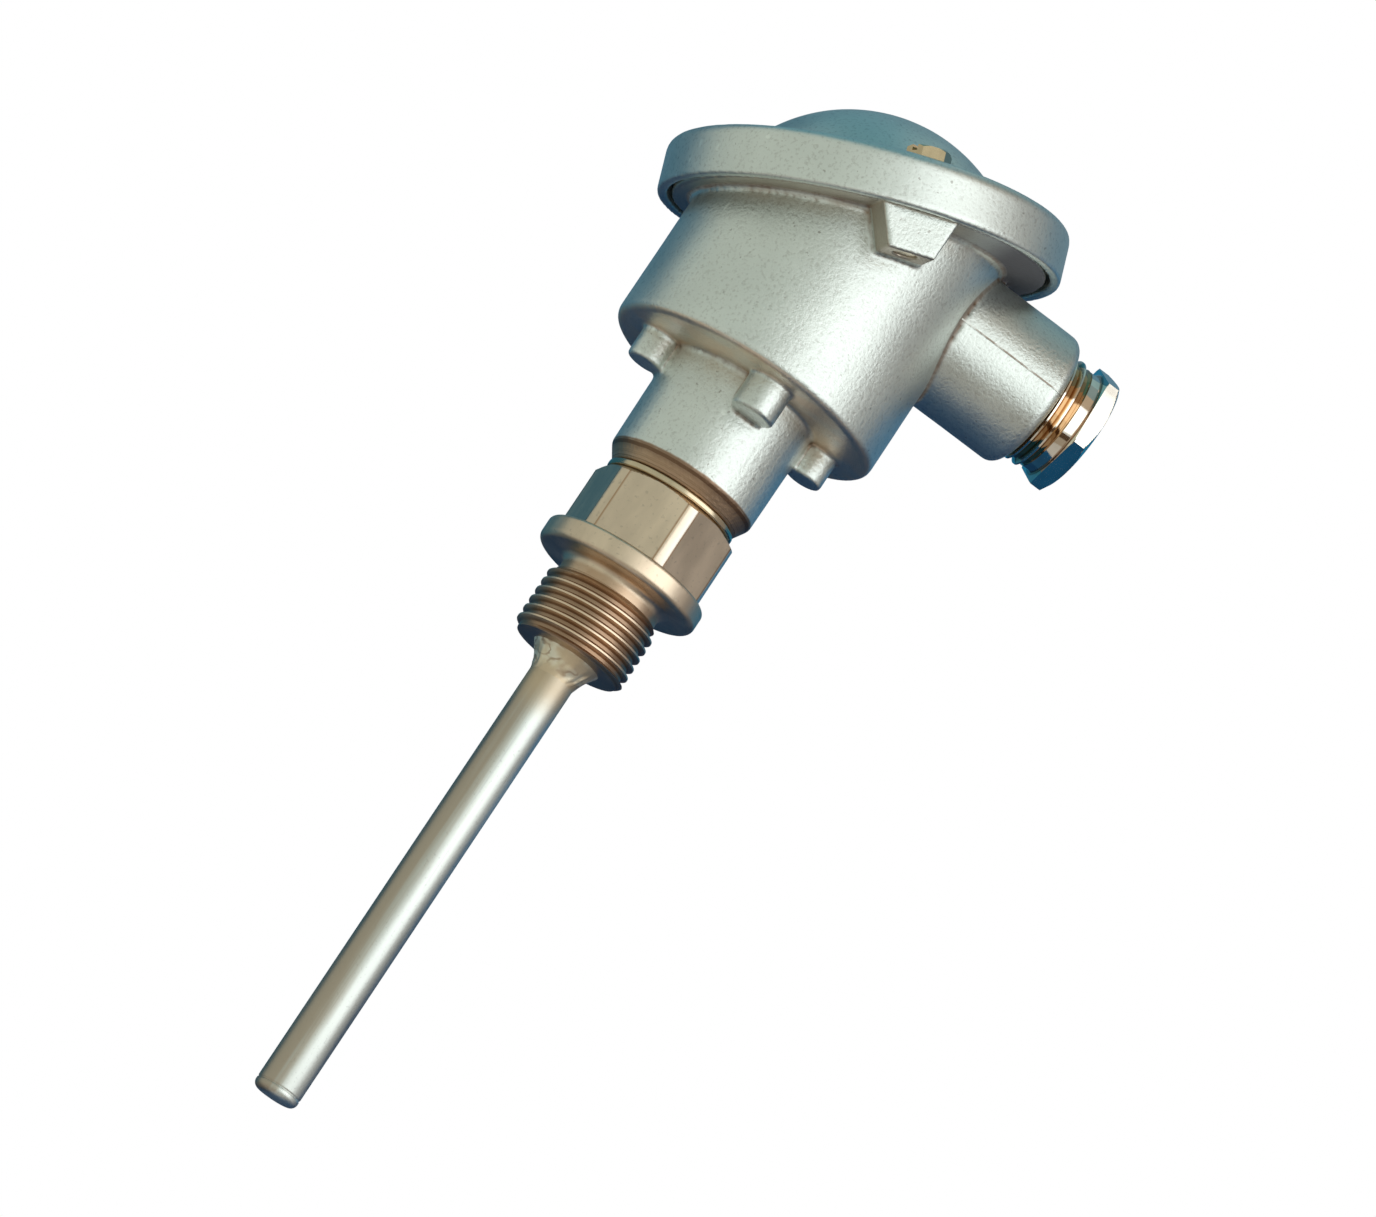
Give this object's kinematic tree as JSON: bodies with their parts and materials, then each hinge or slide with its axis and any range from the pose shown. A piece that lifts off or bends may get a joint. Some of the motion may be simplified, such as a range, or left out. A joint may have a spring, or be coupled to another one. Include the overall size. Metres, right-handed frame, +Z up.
{
  "type": "resistance thermometer with connection head",
  "caption": "Temperature probe: slant-lidded cast connection head with cable gland on a threaded process fitting and a slim welded protective tube.",
  "frame": {"origin": "centre of the sealing face under the collar of the process fitting", "axes": "+Z up the probe's axis to the head, +X to the cable entry, -Y to the front cover screw"},
  "size_m": [0.0859, 0.0696, 0.1966],
  "materials": {
    "cast_aluminium": "sand-finish die casting, clear coated",
    "stainless": "turned stainless steel",
    "stem_steel": "satin drawn stainless tube",
    "weld": "bright weld bead with fine ripples",
    "nickel_brass": "bright nickel-plated brass",
    "plain_brass": "bare brass, machined",
    "zinc_steel": "zinc-plated steel",
    "rubber": "matte black rubber",
    "ceramic": "unglazed white ceramic",
    "spring_steel": "bright spring wire"
  },
  "bodies": {
    "head": {"process_fitting": "stainless", "stem_tube": "stem_steel", "stem_weld": "weld", "tip_plug": "stem_steel", "neck_seal_ring": "nickel_brass", "head_body": "cast_aluminium", "gland_thrust_ring": "nickel_brass", "gland_seal": "rubber", "spring_screw_1": "zinc_steel", "spring_screw_2": "zinc_steel", "insert_spring_1": "spring_steel", "insert_spring_2": "spring_steel", "earth_screw": "plain_brass", "earth_washer": "plain_brass"},
    "cover": {"head_cover": "cast_aluminium", "cover_gasket": "rubber"},
    "front_screw": {"cover_screw_front": "nickel_brass"},
    "rear_screw": {"cover_screw_rear": "nickel_brass"},
    "gland": {"gland_screw": "nickel_brass"},
    "insert": {"insert_sheath": "stem_steel", "insert_insulator": "ceramic", "sensing_element": "ceramic", "insert_bush": "zinc_steel", "insert_plate": "zinc_steel", "terminal_block": "ceramic", "lead_wire_1": "zinc_steel", "lead_wire_2": "zinc_steel", "lead_wire_3": "zinc_steel", "lead_wire_4": "zinc_steel", "terminal_1": "plain_brass", "terminal_2": "plain_brass", "terminal_3": "plain_brass", "terminal_4": "plain_brass", "lead_screw_1": "plain_brass", "lead_screw_2": "plain_brass", "lead_screw_3": "plain_brass", "lead_screw_4": "plain_brass", "clamp_screw_1": "plain_brass", "clamp_screw_2": "plain_brass", "clamp_screw_3": "plain_brass", "clamp_screw_4": "plain_brass", "block_screw_1": "zinc_steel", "block_screw_2": "zinc_steel"}
  },
  "joints": [
    {"name": "cover_lift", "type": "slide", "parent": "head", "child": "cover", "axis": [-0.342, 0, 0.9397], "range_m": [0, 0.03]},
    {"name": "front_screw_turn", "type": "hinge", "parent": "cover", "child": "front_screw", "pos_m": [-0.00123, -0.0288, 0.08159], "axis": [-0.342, 0, 0.9397], "continuous": true},
    {"name": "rear_screw_turn", "type": "hinge", "parent": "cover", "child": "rear_screw", "pos_m": [-0.00123, 0.0288, 0.08159], "axis": [-0.342, 0, 0.9397], "continuous": true},
    {"name": "gland_turn", "type": "hinge", "parent": "head", "child": "gland", "pos_m": [0.044, 0, 0.069], "axis": [1, 0, 0], "continuous": true},
    {"name": "insert_travel", "type": "slide", "parent": "head", "child": "insert", "axis": [0, 0, 1], "range_m": [0, 0.004], "stiffness_N_per_m": 3000, "springref_m": -0.004, "deforming": ["insert_spring_1", "insert_spring_2"]}
  ]
}
